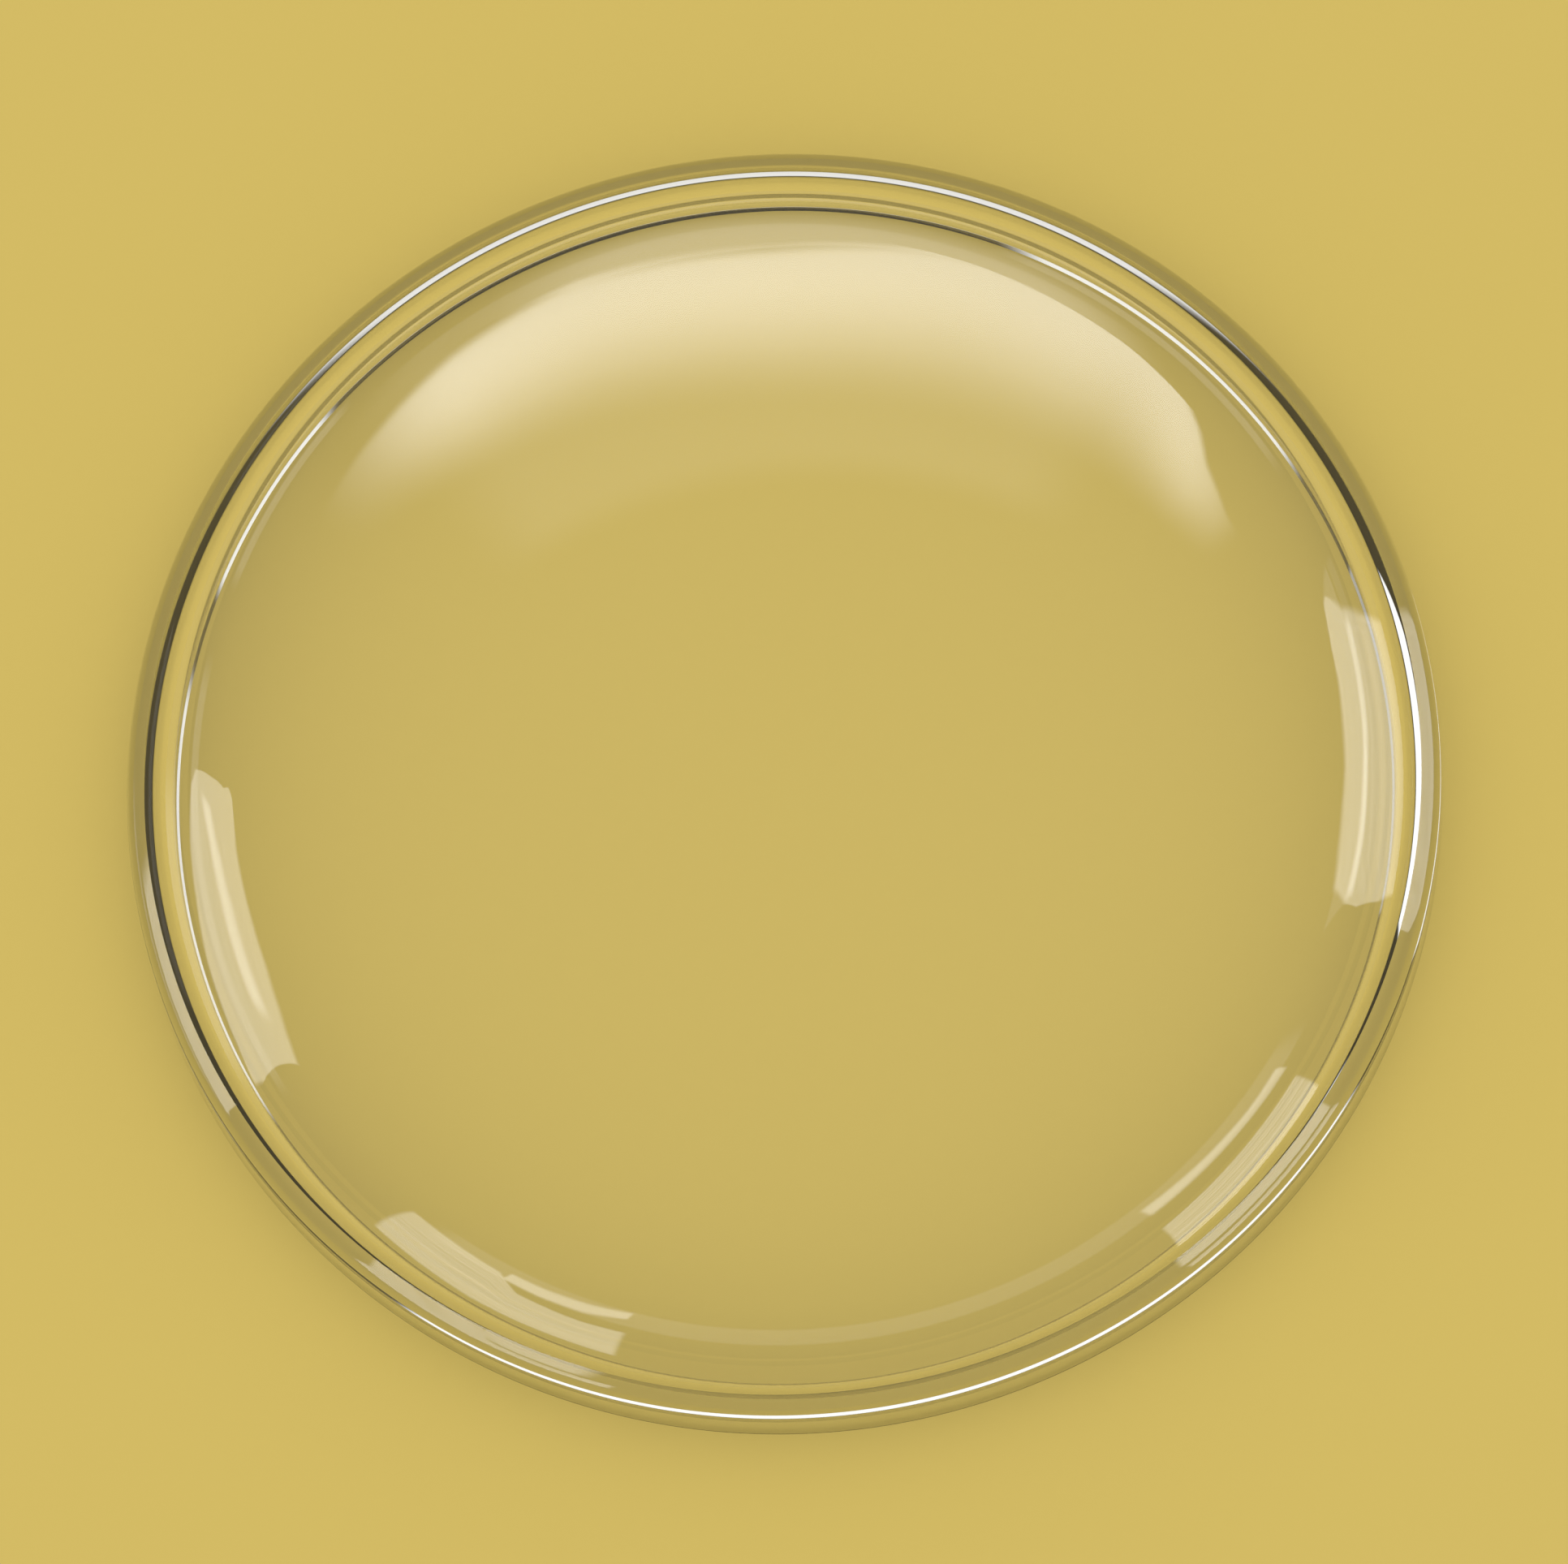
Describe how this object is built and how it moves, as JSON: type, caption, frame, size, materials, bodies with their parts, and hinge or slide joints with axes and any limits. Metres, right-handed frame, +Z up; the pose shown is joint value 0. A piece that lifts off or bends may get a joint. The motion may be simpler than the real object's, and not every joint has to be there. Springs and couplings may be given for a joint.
{
  "type": "watch crystal",
  "caption": "Clear acrylic watch crystal: a low dome with a round shoulder, a narrow ledge and an upright rim that presses into the case.",
  "frame": {"origin": "middle of the foot's underside, where the crystal stands", "axes": "+Z up through the top of the dome; +X and +Y lie in the plane of the foot, and every direction round the axis is alike"},
  "size_m": [0.0316, 0.0316, 0.0055],
  "materials": {
    "clear_acrylic": "polished"
  },
  "bodies": {
    "root": {"crystal": "clear_acrylic"}
  },
  "joints": []
}
